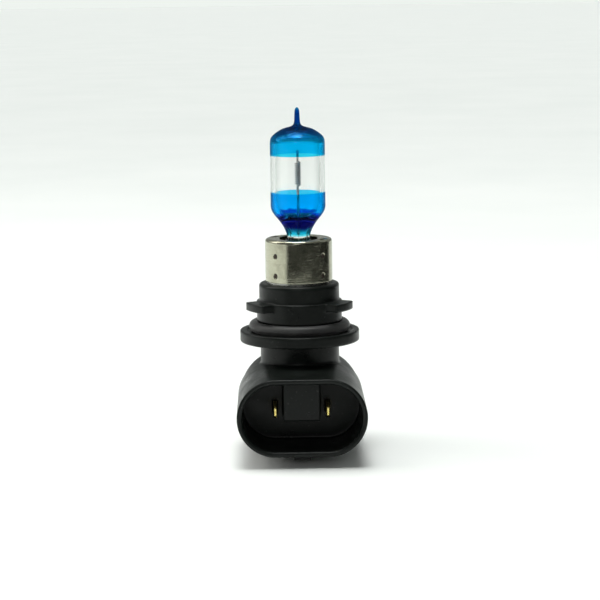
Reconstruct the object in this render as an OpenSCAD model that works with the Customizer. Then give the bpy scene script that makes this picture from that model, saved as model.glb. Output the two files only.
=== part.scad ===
// Right-angle plug-in halogen headlight bulb, millimetres.
// +Z runs up the bulb axis towards the glass tip, and the plug socket opens towards -Y.
// Z = 0 is the reference plane at the underside of the three bayonet lugs.

/* [Glass capsule] */
// Outer diameter of the quartz tube
glass_d = 12.7; // [12.4:0.1:13]
// Wall thickness of the quartz tube
glass_wall = 1.15; // [1:0.05:1.3]
// Height of the end of the exhaust tip
tip_z = 46.95; // [46:0.05:48]
// Height of the lower end of the pinch
pinch_z = 8; // [7.5:0.1:8.5]
// Thickness of the pinch between its pressed faces
pinch_t = 4.8; // [4.6:0.1:5]
// Width of the pinch across its pressed faces
pinch_w = 9.8; // [9.4:0.1:10]
// Height where the lower blue band ends
coat_low_z = 17.2; // [17:0.1:19]
// Height where the clear window begins
window_low_z = 27.2; // [26:0.1:28.5]
// Height where the clear window ends
window_high_z = 35.8; // [34.5:0.1:37]

/* [Filament and leads] */
// Height of the middle of the filament above the reference plane
light_centre = 31.5; // [31.2:0.1:31.8]
// Length of the coil
coil_len = 5.1; // [4.8:0.1:5.4]
// Outer diameter of the coil
coil_d = 1.5; // [1.3:0.1:1.8]
// Diameter of the coil's wire
coil_wire = 0.24; // [0.2:0.01:0.28]
// Number of turns in the coil
coil_turns = 11; // [9:1:13]
// Diameter of the inner support wires
lead_d = 0.6; // [0.5:0.05:0.7]
// Diameter of the outer wires below the foils
outer_d = 0.8; // [0.7:0.05:0.9]
// Distance of each wire from the bulb axis
lead_y = 2.4; // [2.3:0.05:2.5]
// Width of a sealing foil
foil_w = 2; // [1.8:0.1:2.2]
// Thickness of a sealing foil
foil_t = 0.06; // [0.05:0.01:0.08]

/* [Collar] */
// Outer diameter of the collar sleeve
collar_d = 15.7; // [15.5:0.1:15.9]
// Sheet thickness of the collar parts
sheet_t = 0.4; // [0.35:0.05:0.45]
// Height of the top of the collar sleeve
collar_top_z = 16.46; // [16.3:0.02:16.6]
// Height of the lower edge of the collar sleeve
collar_low_z = 6.5; // [6.3:0.1:6.8]
// Size across the oval opening, side to side
opening_w = 8.8; // [8.4:0.1:9.2]
// Size across the oval opening, front to back
opening_l = 11.6; // [11:0.1:12]
// Diameter of a spot weld
weld_d = 1.1; // [0.9:0.1:1.3]

/* [Base] */
// Diameter of the pilot nose above the lugs
pilot_d = 18.8; // [18.6:0.1:19]
// Diameter of the spigot
spigot_d = 20; // [19.8:0.1:20.2]
// Radius reached by the lugs
lug_r = 12.8; // [12.6:0.1:13]
// Thickness of a lug
lug_t = 1.8; // [1.6:0.1:2]
// Diameter of the flange
flange_d = 28; // [27.6:0.1:28.4]
// Height of the face that stops against the lamp
stop_z = -5.1; // [-5.2:0.05:-5]
// Height of the underside of the flange
flange_low_z = -7.7; // [-8:0.1:-7.5]
// Diameter of the neck under the flange
neck_d = 18.5; // [18:0.1:19]
// Thickness of the O-ring
ring_d = 2.6; // [2.5:0.1:2.8]

/* [Plug socket] */
// Width of the oval shroud
shroud_w = 29.5; // [29:0.1:30]
// Height of the oval shroud
shroud_h = 17.7; // [17.4:0.1:18]
// Height of the middle of the shroud
shroud_z = -21.35; // [-21.5:0.05:-21.3]
// Distance of the mouth from the bulb axis
mouth_y = 25.75; // [25:0.05:26.5]
// Distance of the socket's back wall from the bulb axis
back_y = 11; // [10.9:0.1:11.2]
// Wall thickness of the shroud
shroud_wall = 1.2; // [1.1:0.05:1.4]
// Distance between the two terminals
pin_pitch = 12.1; // [12:0.1:12.2]
// Thickness of a terminal
pin_t = 0.8; // [0.8:0.05:0.85]
// Width of a terminal
pin_w = 2.8; // [2.7:0.05:2.8]
// Distance of the terminal tips from the bulb axis
pin_tip_y = 17.3; // [17:0.1:18]
// Height of the terminals
pin_z = -21.5; // [-21.6:0.1:-21.4]
// Height of the underside of the rear cover
foot_z = -32.8; // [-33:0.1:-32.6]

/* [Hidden] */
$fn = 96;
eps = 0.01;

glass_r = glass_d / 2;
collar_r = collar_d / 2;
inner_r = collar_r - sheet_t;      // inside of the sleeve, outside of the parts it covers
coat_t = 0.05;                     // coating, shown thicker than a real film
foil_low = 10.8;                   // lower end of the foils
foil_high = 18.6;                  // upper end of the foils
weld_lap = 1;                      // length over which a wire lies on a foil
hook_r = lead_y / 2;               // bend radius of the inner wires
coil_low = light_centre - coil_len / 2;
coil_high = light_centre + coil_len / 2;
tail = 0.95;                       // straight end of the coil's wire
clip_low = 9.8;                    // lower edge of the clip's skirt
clip_plate = 13.2;                 // underside of the clip's plate
ring_low = 1;                      // lower edge of the anchor ring
ring_high = 9.5;                   // upper edge of the anchor ring
nose_z = 6;                        // top of the plastic nose
groove_r = 9.3;                    // bottom of the O-ring groove
groove_high = stop_z + 2.2;        // upper wall of the O-ring groove
groove_low = groove_high - ring_d; // seat of the O-ring
seat_r = 12.5;                     // edge between the O-ring seat and the stop face
bore_r = 5;                        // passage for the wires
chamber_r = 9.6;                   // terminal chamber
chamber_top = -14;
boss_r = 11.6;                     // round foot under the base
cover_t = 1.4;
cover_z = foot_z + cover_t;        // joint between the base and its cover
riser_x = pin_pitch / 2;
lead_x = riser_x - pin_t / 2 - outer_d / 2;
bend_r = 1;                        // bend radius of the outer wires
bend_z = -14.6;                    // height where the outer wires turn aside

// ---------- profiles ----------

// dome and exhaust tip, [radius, height], from the end of the tip down to the shoulder
tip_pts = [
  [0.26, tip_z], [0.42, tip_z - 0.5], [0.52, tip_z - 1.05], [0.57, tip_z - 2.05], [0.62, tip_z - 3.05],
  [0.77, tip_z - 3.85], [1.13, tip_z - 4.29], [1.76, tip_z - 4.57], [2.6, tip_z - 4.79], [3.55, tip_z - 5.11],
  [4.45, tip_z - 5.61], [5.42, tip_z - 6.33], [5.98, tip_z - 6.9], [6.25, tip_z - 7.5], [glass_r, tip_z - 8.35]
];
// tube, seen from the side, where it stays wide down to the pinch
side_pts = [[glass_r, 23.9], [6.22, 22.6], [5.9, 21], [5.45, 19.4], [5.1, 17.8], [pinch_w / 2, 16.6], [pinch_w / 2, pinch_z]];
// half widths seen from the front, where the tube is pressed flat
front_pts = [
  [pinch_t / 2, pinch_z], [pinch_t / 2, 15.9], [2.6, 16.46], [2.74, 17.6], [3, 18.3], [3.3, 18.95],
  [3.72, 19.65], [4.2, 20.35], [4.8, 21.1], [5.42, 21.8], [5.9, 22.5], [6.2, 23.2], [glass_r, 23.9]
];

function reversed(v) = [for (i = [len(v) - 1:-1:0]) v[i]];
function grown(v, d) = [for (p = v) [p[0] + d, p[1]]];
function both_sides(v) = concat(v, [for (p = reversed(v)) [-p[0], p[1]]]);

// the glass as a solid, grown sideways by d
module glass_solid(d = 0) {
  top = [for (p = tip_pts) p[0] + d > 0 ? [p[0] + d, p[1]] : [0.01, p[1]]];
  intersection() {
    rotate_extrude() polygon(concat([[0, tip_z]], top, [[glass_r + d, 20], [glass_r + d, pinch_z], [0, pinch_z]]));
    rotate([90, 0, 0]) linear_extrude(height = 20, center = true)
      polygon(both_sides(concat(grown(front_pts, d), [[glass_r + d + 0.5, 24.5], [glass_r + d + 0.5, tip_z + 1]])));
    rotate([90, 0, 90]) linear_extrude(height = 20, center = true)
      polygon(both_sides(concat(grown(reversed(side_pts), d), [[glass_r + d + 0.5, 24.5], [glass_r + d + 0.5, tip_z + 1]])));
  }
}

module cavity() {
  r = glass_r - glass_wall;
  top = tip_z - 8.35;
  rotate_extrude() polygon([
    [0, 20.95], [2.1, 20.95], [2.9, 21.12], [3.6, 21.5], [4.22, 22.1], [4.76, 22.9], [5.08, 23.7], [r, 24.6], [r, top - 0.1],
    [r - 0.09, top + 0.5], [r - 0.32, top + 1], [r - 0.7, top + 1.4], [r - 1.45, top + 1.9], [r - 2.3, top + 2.28],
    [r - 3.2, top + 2.53], [r - 4.1, top + 2.67], [0, top + 2.7]
  ]);
}

// an oval with straight top and bottom and round ends
module oval(w, h) {
  square([w - h, h], center = true);
  for (s = [-1, 1]) translate([s * (w - h) / 2, 0]) circle(d = h);
}
// an oval bar from y0 to y1
module oval_bar(w, h, y0, y1) {
  translate([0, y1, shroud_z]) rotate([90, 0, 0]) linear_extrude(height = y1 - y0) oval(w, h);
}

module rod(d, z0, z1) { translate([0, 0, z0]) cylinder(d = d, h = z1 - z0); }

// quarter or half bend in the plane of the local X and Y axes
module bend(r, d, a0, a) {
  rotate([0, 0, a0]) rotate_extrude(angle = a) translate([r, 0]) circle(d = d);
}

// a wire's end, flattened to half its section where it lies on a foil
module flat_end(d, z0, z1) {
  intersection() {
    rod(d, z0, z1);
    translate([-d, -d, z0 - 1]) cube([d, 2 * d, z1 - z0 + 2]);
  }
}

// ---------- glass, filament and wires ----------

module lead_in_long() color("silver") {
  translate([0, lead_y, 0]) {
    flat_end(lead_d, foil_high - weld_lap, foil_high);
    rod(lead_d, foil_high, coil_high + tail + 0.4);
  }
  translate([0, hook_r, coil_high + tail + 0.4]) rotate([90, 0, 90]) bend(hook_r, lead_d, 0, 180);
  rod(lead_d, coil_high + tail, coil_high + tail + 0.4);
}

module lead_in_short() color("silver") {
  end_z = coil_low - tail;
  translate([0, -lead_y, 0]) {
    flat_end(lead_d, foil_high - weld_lap, foil_high);
    rod(lead_d, foil_high, end_z - lead_y);
  }
  translate([0, -hook_r, end_z - lead_y]) rotate([90, 0, 90]) bend(hook_r, lead_d, 90, 90);
  translate([0, -hook_r, end_z]) rotate([90, 0, 90]) bend(hook_r, lead_d, 270, 90);
}

module foil(y) color("gray") translate([0, y - foil_w / 2, foil_low]) cube([foil_t, foil_w, foil_high - foil_low]);
module foil_front() foil(-lead_y);
module foil_rear() foil(lead_y);

// side is -1 for the wire that turns to the left terminal, 1 for the right one
module outer_lead(y, side) color("silver") translate([0, y, 0]) {
  flat_end(outer_d, foil_low, foil_low + weld_lap);
  rod(outer_d, bend_z, foil_low);
  translate([side * bend_r, 0, bend_z]) rotate([90, 0, 0]) bend(bend_r, outer_d, side > 0 ? 180 : 270, 90);
  translate([side * bend_r, 0, bend_z - bend_r]) rotate([0, side * 90, 0]) cylinder(d = outer_d, h = lead_x - 2 * bend_r);
  translate([side * (lead_x - bend_r), 0, bend_z - 2 * bend_r]) rotate([90, 0, 0]) bend(bend_r, outer_d, side > 0 ? 0 : 90, 90);
  translate([side * lead_x, 0, 0]) rod(outer_d, bend_z - 2 * bend_r - 3, bend_z - 2 * bend_r);
}
module outer_lead_front() outer_lead(-lead_y, -1);
module outer_lead_rear() outer_lead(lead_y, 1);

module glass_capsule() color([0.85, 0.92, 0.95, 0.5]) difference() {
  glass_solid();
  cavity();
  for (s = [-1, 1]) translate([0, s * lead_y, 0]) {
    rod(lead_d, foil_high, 24.5);
    flat_end(lead_d, foil_high - weld_lap, foil_high + eps);
    flat_end(outer_d, foil_low - eps, foil_low + weld_lap);
    rod(outer_d, pinch_z - 1, foil_low);
    translate([0, -foil_w / 2, foil_low]) cube([foil_t, foil_w, foil_high - foil_low]);
  }
}

module coat_tip() color([0.05, 0.45, 0.85, 0.8]) rotate_extrude() polygon(concat(
  grown(tip_pts, coat_t), [[glass_r + coat_t, window_high_z], [glass_r, window_high_z]], reversed(tip_pts)));

module coat_neck() color([0.05, 0.35, 0.85, 0.8]) difference() {
  intersection() {
    glass_solid(coat_t);
    translate([-10, -10, coat_low_z]) cube([20, 20, window_low_z - coat_low_z]);
  }
  glass_solid();
}

// coil wire: a tube of rectangles swept along a helix, with a straight tail at each end on the axis
coil_sides = 6;
coil_steps = 16;
coil_r = (coil_d - coil_wire) / 2;
function coil_point(t) = [coil_r * cos(360 * t), coil_r * sin(360 * t), coil_low + coil_len * t / coil_turns];
coil_path = concat(
  [[0, 0, coil_low - tail], [0, 0, coil_low - 0.45], [coil_r * 0.45, 0, coil_low - 0.2]],
  [for (i = [0:coil_steps * coil_turns]) coil_point(i / coil_steps)],
  [[coil_r * 0.45, 0, coil_high + 0.2], [0, 0, coil_high + 0.45], [0, 0, coil_high + tail]]);
function unit(v) = v / norm(v);
function along(p, i) = unit(p[min(i + 1, len(p) - 1)] - p[max(i - 1, 0)]);
// one turn-safe frame: the sideways direction is carried from ring to ring
function carried(p, i, u) = let (t = i == 0 || i == len(p) - 1 ? [0, 0, 1] : along(p, i)) unit(u - (u * t) * t);
function frames(p) = [for (i = 0, u = [0, 1, 0]; i < len(p); i = i + 1, u = i < len(p) ? carried(p, i, u) : u) u];
module swept(p, d, n) {
  fr = frames(p);
  pts = [for (i = [0:len(p) - 1]) let (t = i == 0 || i == len(p) - 1 ? [0, 0, 1] : along(p, i), u = fr[i], w = cross(t, u))
    for (k = [0:n - 1]) p[i] + d / 2 * (cos(360 * k / n) * u + sin(360 * k / n) * w)];
  m = len(p);
  faces = concat(
    [[for (k = [0:n - 1]) k]],
    [for (i = [0:m - 2]) for (k = [0:n - 1]) [i * n + k, (i + 1) * n + k, (i + 1) * n + (k + 1) % n]],
    [for (i = [0:m - 2]) for (k = [0:n - 1]) [i * n + k, (i + 1) * n + (k + 1) % n, i * n + (k + 1) % n]],
    [[for (k = [n - 1:-1:0]) (m - 1) * n + k]]);
  polyhedron(points = pts, faces = faces);
}
module filament_coil() color("dimgray") swept(coil_path, coil_wire, coil_sides);

// ---------- collar ----------

module tube(r_out, r_in, z0, z1) difference() {
  translate([0, 0, z0]) cylinder(r = r_out, h = z1 - z0);
  translate([0, 0, z0 - 1]) cylinder(r = r_in, h = z1 - z0 + 2);
}

module pinch_clip() color("gainsboro") {
  difference() {
    translate([0, 0, clip_plate]) cylinder(r = inner_r, h = sheet_t);
    cube([pinch_t + 2 * sheet_t, pinch_w + 0.8, 60], center = true);
  }
  difference() {
    tube(inner_r, inner_r - sheet_t, clip_low, clip_plate);
    for (a = [0, 90, 180, 270]) rotate([0, 0, a]) translate([0, 0, clip_low + 1.4]) rotate([0, 90, 0])
      translate([0, 0, 5]) linear_extrude(height = 5) square([1.2, 2.6], center = true);
  }
  for (s = [-1, 1]) translate([s * (pinch_t / 2 + sheet_t / 2), 0, (clip_low + 15.6) / 2])
    cube([sheet_t, 7.2, 15.6 - clip_low], center = true);
}

module weld_places(r0, r1) {
  for (z = [8.2, 12.8]) for (a = [45:90:315])
    rotate([0, 0, a]) translate([r0, 0, z]) rotate([0, 90, 0]) cylinder(d = weld_d, h = r1 - r0);
}

module collar_sleeve() color("lightgray") difference() {
  edge = 0.75;
  rotate_extrude() difference() {
    union() {
      translate([0, collar_low_z]) square([collar_r, collar_top_z - edge - collar_low_z]);
      translate([0, collar_low_z]) square([collar_r - edge, collar_top_z - collar_low_z]);
      translate([collar_r - edge, collar_top_z - edge]) circle(r = edge);
    }
    translate([-eps, collar_low_z - 1]) square([inner_r + eps, collar_top_z - edge - collar_low_z + 1]);
    translate([-eps, collar_low_z - 1]) square([collar_r - edge + eps, collar_top_z - sheet_t - collar_low_z + 1]);
    translate([collar_r - edge, collar_top_z - edge]) circle(r = edge - sheet_t);
  }
  // oval opening round the neck of the glass
  translate([0, 0, collar_top_z - 3]) rotate([0, 0, 90]) linear_extrude(height = 6) oval(opening_l, opening_w);
  // two stamping slots
  for (a = [150, 330]) rotate([0, 0, a]) translate([6.35, 0, collar_top_z - 3]) linear_extrude(height = 6) square([1.2, 3.6], center = true);
  weld_places(collar_r - 0.15, collar_r + 1);
}

module anchor_ring() color("silver") tube(inner_r, inner_r - 0.5, ring_low, ring_high);

module weld_spots() color("dimgray") weld_places(collar_r - 0.15, collar_r - 0.05);

// ---------- base ----------

module lugs() {
  // one wide lug at the back and two narrow ones, so that the bulb fits one way round
  for (l = [[90, 10], [210, 8], [330, 8]]) intersection() {
    cylinder(r = lug_r, h = lug_t);
    rotate([0, 0, l[0]]) translate([spigot_d / 4, -l[1] / 2, -1]) cube([lug_r, l[1], lug_t + 2]);
  }
}

module base_round() {
  rotate_extrude() polygon([
    [bore_r, nose_z], [pilot_d / 2 - 0.7, nose_z], [pilot_d / 2, nose_z - 0.8], [pilot_d / 2, lug_t],
    [spigot_d / 2, lug_t], [spigot_d / 2, groove_high], [groove_r, groove_high], [groove_r, groove_low],
    [seat_r, groove_low], [seat_r, stop_z], [flange_d / 2 - 0.3, stop_z], [flange_d / 2, stop_z - 0.3],
    [flange_d / 2, flange_low_z + 0.4], [flange_d / 2 - 0.4, flange_low_z], [neck_d / 2, flange_low_z],
    [neck_d / 2, -14.5], [bore_r, -14.5]
  ]);
}

module latch_ramp() {
  top = shroud_z - shroud_h / 2;
  rotate([90, 0, 90]) translate([0, 0, -1.9]) linear_extrude(height = 3.8)
    polygon([[-mouth_y + 0.9, top + 0.5], [-mouth_y + 0.9, top - 0.1], [-mouth_y + 4.4, top - 1.55], [-mouth_y + 5.5, top - 1.55], [-mouth_y + 5.5, top + 0.5]]);
}

module terminal(side, riser_y) {
  w2 = pin_w / 2;
  translate([side * riser_x, 0, 0]) rotate([90, 0, 90]) translate([0, 0, -pin_t / 2]) linear_extrude(height = pin_t) polygon([
    [-pin_tip_y, pin_z + 0.95], [-pin_tip_y + 0.9, pin_z + w2], [riser_y - w2, pin_z + w2],
    [riser_y - w2, bend_z - 2 * bend_r + 0.2], [riser_y + w2, bend_z - 2 * bend_r + 0.2], [riser_y + w2, pin_z - w2],
    [-pin_tip_y + 0.9, pin_z - w2], [-pin_tip_y, pin_z - 0.95]
  ]);
}
module terminal_left() color("gold") terminal(-1, -lead_y);
module terminal_right() color("gold") terminal(1, lead_y);

// key between the terminals, which mates with the plug
module plug_key() {
  translate([-4.2, -back_y - 7.4, -23.5]) cube([8.4, 7.9, 23.5 + shroud_z + shroud_h / 2 - 0.5]);
}

module base_housing() color([0.08, 0.08, 0.085]) difference() {
  union() {
    base_round();
    lugs();
    difference() {
      union() {
        oval_bar(shroud_w, shroud_h, -mouth_y, 0);
        intersection() {
          oval_bar(shroud_w, shroud_h, -1, shroud_w);
          rod(shroud_w, -40, 0);
        }
        translate([0, 0, cover_z]) cylinder(r = boss_r, h = 7);
        latch_ramp();
      }
      oval_bar(shroud_w - 2 * shroud_wall, shroud_h - 2 * shroud_wall, -mouth_y - 1, -back_y);
    }
    plug_key();
  }
  translate([0, 0, cover_z - 1]) cylinder(r = chamber_r, h = chamber_top - cover_z + 1);
  translate([0, 0, -20]) cylinder(r = bore_r, h = 40);
  // seat of the anchor ring
  translate([0, 0, ring_low]) cylinder(r = inner_r, h = 20);
  for (s = [-1, 1]) translate([s * riser_x - pin_t / 2, -back_y - 1, pin_z - pin_w / 2]) cube([pin_t, back_y, pin_w]);
}

module o_ring() color([0.05, 0.05, 0.05]) rotate_extrude() translate([groove_r + ring_d / 2, (groove_high + groove_low) / 2]) circle(d = ring_d);

module rear_cover() color([0.12, 0.12, 0.12]) difference() {
  union() {
    rotate_extrude() polygon([[0, foot_z], [boss_r - 0.4, foot_z], [boss_r, foot_z + 0.4], [boss_r, cover_z], [0, cover_z]]);
    tube(chamber_r, chamber_r - 1.2, cover_z, cover_z + 2);
  }
  translate([0, 0, foot_z - 1]) cylinder(r = 8, h = 1.3);
}

module sealing_compound() color([0.25, 0.2, 0.15]) difference() {
  rod(2 * bore_r, -9, -4);
  for (s = [-1, 1]) translate([0, s * lead_y, 0]) rod(outer_d, -10, 0);
}

glass_capsule();
coat_tip();
coat_neck();
filament_coil();
lead_in_long();
lead_in_short();
foil_front();
foil_rear();
outer_lead_front();
outer_lead_rear();
pinch_clip();
collar_sleeve();
anchor_ring();
weld_spots();
base_housing();
o_ring();
terminal_left();
terminal_right();
rear_cover();
sealing_compound();
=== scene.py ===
import math

import bpy
import numpy as np
from mathutils import Matrix, Vector


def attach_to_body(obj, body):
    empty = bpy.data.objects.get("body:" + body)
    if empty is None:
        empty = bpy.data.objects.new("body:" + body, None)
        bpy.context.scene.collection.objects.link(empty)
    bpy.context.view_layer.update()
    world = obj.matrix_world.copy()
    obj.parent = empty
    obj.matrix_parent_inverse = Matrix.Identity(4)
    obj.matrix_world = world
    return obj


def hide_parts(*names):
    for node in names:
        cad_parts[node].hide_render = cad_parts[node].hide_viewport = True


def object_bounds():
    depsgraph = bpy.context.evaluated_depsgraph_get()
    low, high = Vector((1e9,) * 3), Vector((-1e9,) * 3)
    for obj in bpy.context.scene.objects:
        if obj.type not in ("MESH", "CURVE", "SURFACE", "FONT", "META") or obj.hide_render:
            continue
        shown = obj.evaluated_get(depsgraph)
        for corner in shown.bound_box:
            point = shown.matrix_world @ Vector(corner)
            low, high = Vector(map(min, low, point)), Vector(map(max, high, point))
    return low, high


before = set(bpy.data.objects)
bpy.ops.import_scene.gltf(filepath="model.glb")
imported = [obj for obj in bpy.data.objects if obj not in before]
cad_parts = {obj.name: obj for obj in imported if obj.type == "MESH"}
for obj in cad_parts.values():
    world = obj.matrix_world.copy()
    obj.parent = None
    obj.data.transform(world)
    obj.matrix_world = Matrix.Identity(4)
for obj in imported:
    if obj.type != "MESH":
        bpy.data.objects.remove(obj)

CAD_BOX = [[float(c) for c in v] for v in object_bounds()]
MM = 0.001
rng = np.random.default_rng(7)
scene = bpy.context.scene

# ------------------------------------------------------------------ dimensions, mm, as in the CAD part
TIP_Z = 46.95
GLASS_R = 6.35
COLLAR_R = 7.85
SHEET = 0.4
COLLAR_TOP = 16.46
COLLAR_LOW = 6.5
OPEN_W, OPEN_L = 8.8, 11.6
SHROUD_W, SHROUD_H, SHROUD_Z = 29.5, 17.7, -21.35
MOUTH_Y, BACK_Y, WALL = -25.75, -11.0, 1.2
FOOT_Z, COVER_Z = -32.8, -31.4
PIN_X, PIN_Z, PIN_TIP = 6.05, -21.5, -17.3
LEAD_Y = 2.4
WINDOW_LOW, WINDOW_HIGH, COAT_LOW = 27.2, 35.8, 17.2


# ------------------------------------------------------------------ material helpers
def material(name):
    m = bpy.data.materials.new(name)
    m.use_nodes = True
    nt = m.node_tree
    nt.nodes.clear()
    out = nt.nodes.new("ShaderNodeOutputMaterial")
    return m, nt, out


def node(nt, kind, props=None, **inputs):
    n = nt.nodes.new(kind)
    for k, v in (props or {}).items():
        setattr(n, k, v)
    for k, v in inputs.items():
        s = n.inputs[int(k[1:])] if k[0] == "i" and k[1:].isdigit() else n.inputs[k.replace("_", " ")]
        if isinstance(v, bpy.types.NodeSocket):
            nt.links.new(v, s)
        else:
            s.default_value = v
    return n


def position(nt):
    return node(nt, "ShaderNodeTexCoord").outputs["Object"]


def mapped(nt, vector, scale=(1, 1, 1), location=(0, 0, 0)):
    m = node(nt, "ShaderNodeMapping")
    nt.links.new(vector, m.inputs["Vector"])
    m.inputs["Scale"].default_value = scale
    m.inputs["Location"].default_value = location
    return m.outputs["Vector"]


def noise(nt, vector, scale, detail=3.0, rough=0.55, distortion=0.0):
    n = node(nt, "ShaderNodeTexNoise")
    nt.links.new(vector, n.inputs["Vector"])
    n.inputs["Scale"].default_value = scale
    n.inputs["Detail"].default_value = detail
    n.inputs["Roughness"].default_value = rough
    n.inputs["Distortion"].default_value = distortion
    return n.outputs["Fac"]


def ramp(nt, fac, stops, mode="LINEAR"):
    r = node(nt, "ShaderNodeValToRGB")
    r.color_ramp.interpolation = mode
    els = r.color_ramp.elements
    while len(els) > 1:
        els.remove(els[-1])
    els[0].position, els[0].color = stops[0][0], (*stops[0][1], 1)
    for p, c in stops[1:]:
        e = els.new(p)
        e.color = (*c, 1)
    nt.links.new(fac, r.inputs["Fac"])
    return r.outputs["Color"]


def remap(nt, value, a, b, c, d, smooth=False):
    n = node(nt, "ShaderNodeMapRange")
    n.interpolation_type = "SMOOTHSTEP" if smooth else "LINEAR"
    nt.links.new(value, n.inputs["Value"])
    for i, v in zip(("From Min", "From Max", "To Min", "To Max"), (a, b, c, d)):
        n.inputs[i].default_value = v
    return n.outputs["Result"]


def math_node(nt, op, a, b=None):
    n = node(nt, "ShaderNodeMath", {"operation": op})
    for s, v in ((n.inputs[0], a), (n.inputs[1], b)):
        if v is None:
            continue
        if isinstance(v, bpy.types.NodeSocket):
            nt.links.new(v, s)
        else:
            s.default_value = v
    return n.outputs["Value"]


def mix_colour(nt, fac, a, b, blend="MIX"):
    n = node(nt, "ShaderNodeMix", {"data_type": "RGBA", "blend_type": blend})
    for s, v in ((n.inputs[0], fac), (n.inputs[6], a), (n.inputs[7], b)):
        if isinstance(v, bpy.types.NodeSocket):
            nt.links.new(v, s)
        else:
            s.default_value = (*v, 1) if isinstance(v, tuple) else v
    return n.outputs[2]


def bump(nt, height, distance, strength=1.0, normal=None):
    n = node(nt, "ShaderNodeBump")
    n.inputs["Strength"].default_value = strength
    n.inputs["Distance"].default_value = distance
    nt.links.new(height, n.inputs["Height"])
    if normal is not None:
        nt.links.new(normal, n.inputs["Normal"])
    return n.outputs["Normal"]


def principled(nt, out, **values):
    p = nt.nodes.new("ShaderNodeBsdfPrincipled")
    nt.links.new(p.outputs["BSDF"], out.inputs["Surface"])
    for k, v in values.items():
        s = p.inputs[k.replace("_", " ")]
        if isinstance(v, bpy.types.NodeSocket):
            nt.links.new(v, s)
        elif isinstance(v, tuple):
            s.default_value = (*v, 1) if len(v) == 3 else v
        else:
            s.default_value = v
    return p


def axis_z(nt, vector):
    s = node(nt, "ShaderNodeSeparateXYZ")
    nt.links.new(vector, s.inputs[0])
    return s.outputs["Z"]


# ------------------------------------------------------------------ materials
def black_plastic(name, base, rough, grain, grain_h):
    m, nt, out = material(name)
    p = position(nt)
    fine = noise(nt, p, grain, 2.0, 0.6)
    cloud = noise(nt, mapped(nt, p, (1, 1, 1.6)), 160, 4.0, 0.6, 0.4)
    specks = noise(nt, p, 1500, 1.0, 0.4)
    colour = ramp(nt, cloud, [(0.30, tuple(c * 0.75 for c in base)), (0.55, base), (0.78, tuple(c * 1.55 for c in base))])
    dust = remap(nt, specks, 0.70, 0.80, 0.0, 0.22)
    colour = mix_colour(nt, dust, colour, (0.10, 0.10, 0.095))
    r = remap(nt, cloud, 0.30, 0.72, rough - 0.07, rough + 0.09)
    r = math_node(nt, "ADD", r, remap(nt, fine, 0.3, 0.7, -0.03, 0.03))
    n1 = bump(nt, cloud, 0.00006, 0.25)
    n2 = bump(nt, fine, grain_h, 0.6, n1)
    principled(nt, out, Base_Color=colour, Roughness=r, Normal=n2, Specular_IOR_Level=0.20)
    return m


def rubber():
    m, nt, out = material("seal_rubber")
    p = position(nt)
    fine = noise(nt, p, 2600, 3.0, 0.6)
    cloud = noise(nt, p, 240, 4.0, 0.6, 0.3)
    colour = ramp(nt, cloud, [(0.3, (0.010, 0.010, 0.011)), (0.7, (0.028, 0.028, 0.027))])
    r = remap(nt, cloud, 0.3, 0.7, 0.42, 0.62)
    principled(nt, out, Base_Color=colour, Roughness=r, Normal=bump(nt, fine, 0.00002, 0.6), Sheen_Weight=0.15)
    return m


def steel(name, base, rough, streak=(260, 260, 9500), dark=(0.34, 0.32, 0.27)):
    m, nt, out = material(name)
    p = position(nt)
    lines = noise(nt, mapped(nt, p, streak), 1.0, 4.0, 0.65)
    cloud = noise(nt, p, 210, 4.0, 0.6, 0.6)
    marks = noise(nt, mapped(nt, p, (900, 900, 2600)), 1.0, 2.0, 0.5)
    colour = ramp(nt, cloud, [(0.28, dark), (0.52, base), (0.8, tuple(min(1, c * 1.12) for c in base))])
    colour = mix_colour(nt, remap(nt, lines, 0.35, 0.7, 0.0, 0.35), colour, tuple(c * 0.62 for c in base))
    r = remap(nt, lines, 0.3, 0.7, rough - 0.05, rough + 0.10)
    r = math_node(nt, "ADD", r, remap(nt, cloud, 0.35, 0.75, -0.03, 0.06))
    nrm = bump(nt, lines, 0.000012, 0.5, bump(nt, marks, 0.00002, 0.25))
    principled(nt, out, Base_Color=colour, Metallic=1.0, Roughness=r, Normal=nrm)
    return m


def wire_metal(name, base, rough):
    m, nt, out = material(name)
    p = position(nt)
    lines = noise(nt, mapped(nt, p, (5200, 5200, 700)), 1.0, 3.0, 0.6)
    cloud = noise(nt, p, 520, 3.0, 0.6)
    colour = ramp(nt, cloud, [(0.3, tuple(c * 0.65 for c in base)), (0.7, base)])
    r = remap(nt, lines, 0.3, 0.7, rough - 0.08, rough + 0.10)
    principled(nt, out, Base_Color=colour, Metallic=1.0, Roughness=r, Normal=bump(nt, lines, 0.000008, 0.5))
    return m


def plated():
    m, nt, out = material("terminal_metal")
    p = position(nt)
    lines = noise(nt, mapped(nt, p, (5000, 420, 5000)), 1.0, 3.0, 0.6)
    cloud = noise(nt, p, 480, 4.0, 0.6)
    colour = ramp(nt, cloud, [(0.3, (0.74, 0.57, 0.16)), (0.55, (0.95, 0.80, 0.29)), (0.8, (1.0, 0.89, 0.44))])
    r = remap(nt, lines, 0.3, 0.7, 0.24, 0.40)
    principled(nt, out, Base_Color=colour, Metallic=1.0, Roughness=r, Normal=bump(nt, lines, 0.00001, 0.5))
    return m


def weld_metal():
    m, nt, out = material("weld")
    p = position(nt)
    cloud = noise(nt, p, 1700, 4.0, 0.6, 0.6)
    colour = ramp(nt, cloud, [(0.25, (0.012, 0.010, 0.009)), (0.6, (0.06, 0.045, 0.035)), (0.85, (0.20, 0.15, 0.10))])
    principled(nt, out, Base_Color=colour, Metallic=0.7, Roughness=remap(nt, cloud, 0.3, 0.7, 0.38, 0.65), Normal=bump(nt, cloud, 0.00006, 0.8))
    return m


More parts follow.
